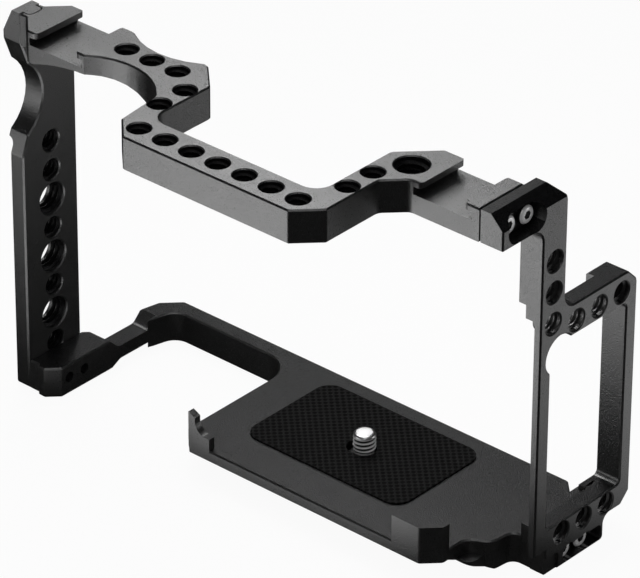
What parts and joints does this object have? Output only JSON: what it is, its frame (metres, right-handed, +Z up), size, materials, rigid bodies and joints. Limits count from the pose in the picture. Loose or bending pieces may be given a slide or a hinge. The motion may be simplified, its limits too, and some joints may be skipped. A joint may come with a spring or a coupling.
{
  "type": "camera cage",
  "caption": "Camera cage: an offset top plate with shoes, a drilled grip post, a base plate with a pad and captive screw, and a windowed port frame.",
  "frame": {"origin": "axis of the camera screw at the top of the camera pad, where the camera's tripod socket sits", "axes": "+Z up along the camera screw, -Y toward the front, where the lens points, +X toward the port frame"},
  "size_m": [0.1749, 0.0895, 0.119],
  "materials": {
    "black_anodised": "fine bead-blasted black anodising, satin",
    "black_rubber": "matt, with a small raised weave",
    "bright_steel": "bright nickel plated",
    "black_steel": "black oxide",
    "spring_steel": "plain"
  },
  "bodies": {
    "cage": {"top_plate": "black_anodised", "grip_post": "black_anodised", "base_plate": "black_anodised", "port_frame": "black_anodised", "camera_pad": "black_rubber", "frame_head_screw_front": "bright_steel", "frame_head_screw_rear": "bright_steel", "frame_foot_screw_front": "bright_steel", "frame_foot_screw_rear": "bright_steel", "post_foot_screw_front": "black_steel", "post_foot_screw_rear": "black_steel", "post_head_screw": "black_steel"},
    "washer": {"slot_washer": "spring_steel"},
    "clip": {"retaining_clip": "spring_steel"},
    "screw": {"camera_screw": "bright_steel"}
  },
  "joints": [
    {"name": "screw_shift", "type": "slide", "parent": "cage", "child": "washer", "axis": [-1, 0, 0], "range_m": [0, 0.0022]},
    {"name": "screw_drop", "type": "slide", "parent": "washer", "child": "clip", "axis": [0, 0, -1], "range_m": [0, 0.002]},
    {"name": "screw_turn", "type": "hinge", "parent": "clip", "child": "screw", "pos_m": [0, 0, 0], "axis": [0, 0, 1], "continuous": true}
  ]
}
